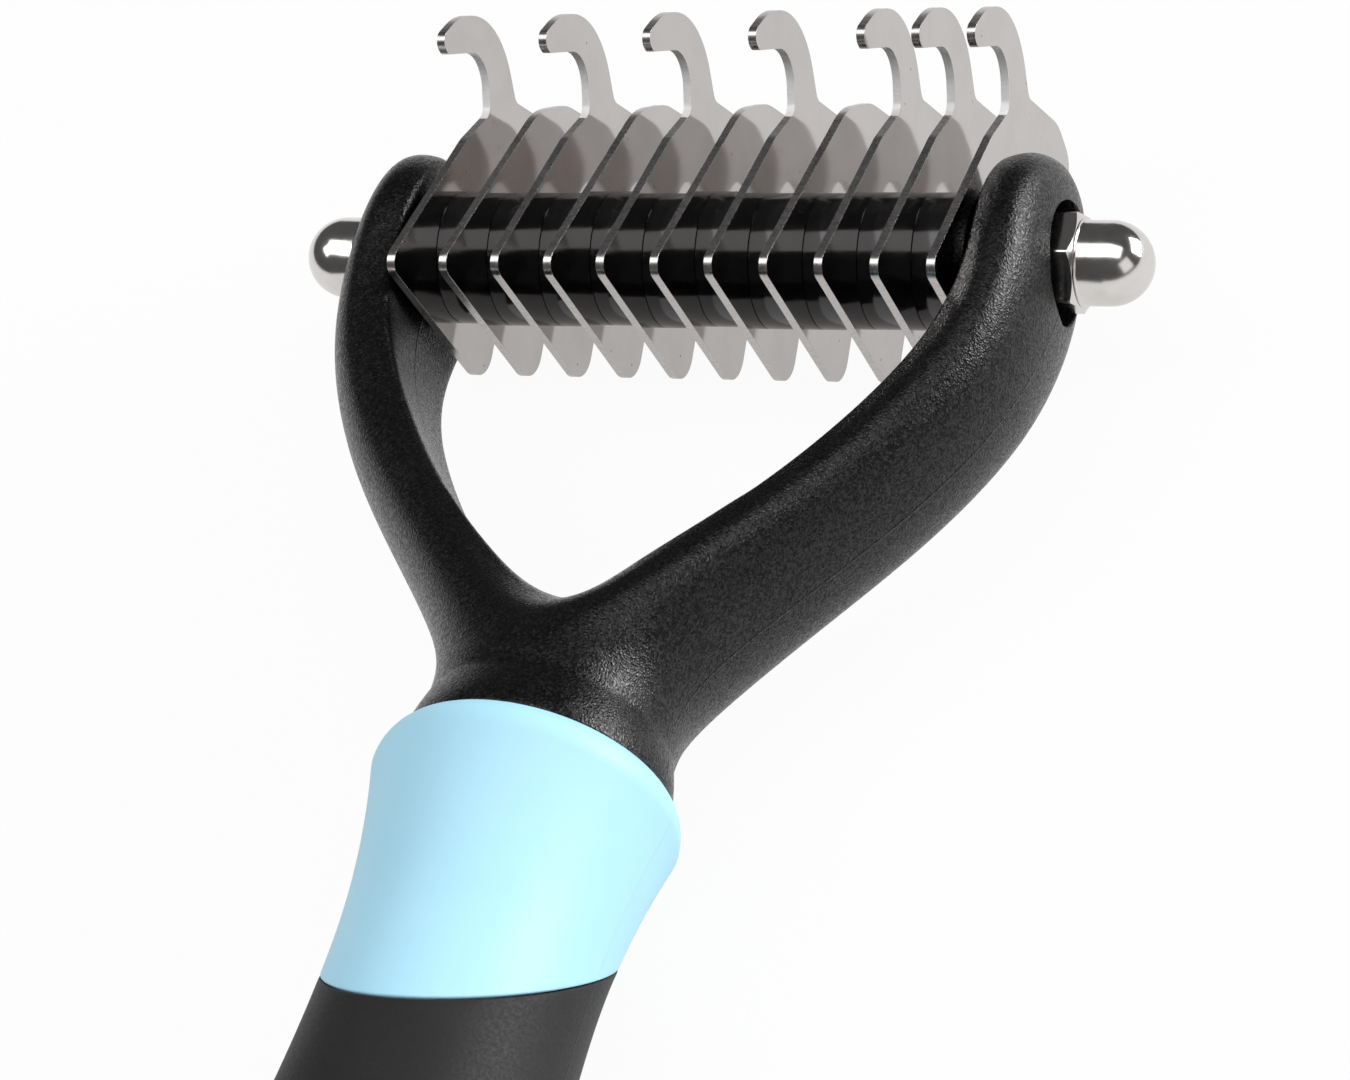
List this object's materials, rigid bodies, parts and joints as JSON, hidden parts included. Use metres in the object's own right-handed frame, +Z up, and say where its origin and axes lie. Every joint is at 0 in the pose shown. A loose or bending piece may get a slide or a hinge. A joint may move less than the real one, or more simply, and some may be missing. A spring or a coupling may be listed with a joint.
{
  "type": "dematting comb",
  "caption": "Hand comb for matted coats: a forked handle with a two-tone grip carries a row of hooked and short steel blades, spaced on a clamped axle between domed nuts.",
  "frame": {"origin": "under the middle of the comb, on the surface it lies on with its teeth up", "axes": "+X along the axle, +Y from the butt of the handle to the head, +Z up, the way the teeth point"},
  "size_m": [0.0804, 0.1729, 0.0296],
  "materials": {
    "fork_plastic": "fine-grained satin black",
    "blue_grip": "smooth satin sky blue",
    "black_grip": "matt black, soft to the touch",
    "axle_steel": "plain threaded rod",
    "blade_steel": "mirror-polished stainless steel",
    "spacer_plastic": "gloss black",
    "nut_chrome": "bright plated"
  },
  "bodies": {
    "handle": {"fork_frame": "fork_plastic", "collar_grip": "blue_grip", "rear_grip": "black_grip"},
    "blade_pack": {"axle_rod": "axle_steel", "hooked_blade_01": "blade_steel", "short_blade_02": "blade_steel", "hooked_blade_03": "blade_steel", "short_blade_04": "blade_steel", "hooked_blade_05": "blade_steel", "short_blade_06": "blade_steel", "hooked_blade_07": "blade_steel", "short_blade_08": "blade_steel", "hooked_blade_09": "blade_steel", "hooked_blade_10": "blade_steel", "hooked_blade_11": "blade_steel", "spacer_01": "spacer_plastic", "spacer_02": "spacer_plastic", "spacer_03": "spacer_plastic", "spacer_04": "spacer_plastic", "spacer_05": "spacer_plastic", "spacer_06": "spacer_plastic", "spacer_07": "spacer_plastic", "spacer_08": "spacer_plastic", "spacer_09": "spacer_plastic", "spacer_10": "spacer_plastic"},
    "left_nut": {"cap_nut_left": "nut_chrome"},
    "right_nut": {"cap_nut_right": "nut_chrome"}
  },
  "joints": [
    {"name": "blade_pack_tilt", "type": "hinge", "parent": "handle", "child": "blade_pack", "pos_m": [0, 0.0635, 0.0129], "axis": [1, 0, 0], "range_deg": [-35, 8]},
    {"name": "left_nut_turn", "type": "hinge", "parent": "blade_pack", "child": "left_nut", "pos_m": [-0.03015, 0.0635, 0.0129], "axis": [1, 0, 0], "continuous": true},
    {"name": "right_nut_turn", "type": "hinge", "parent": "blade_pack", "child": "right_nut", "pos_m": [0.03015, 0.0635, 0.0129], "axis": [1, 0, 0], "continuous": true}
  ]
}
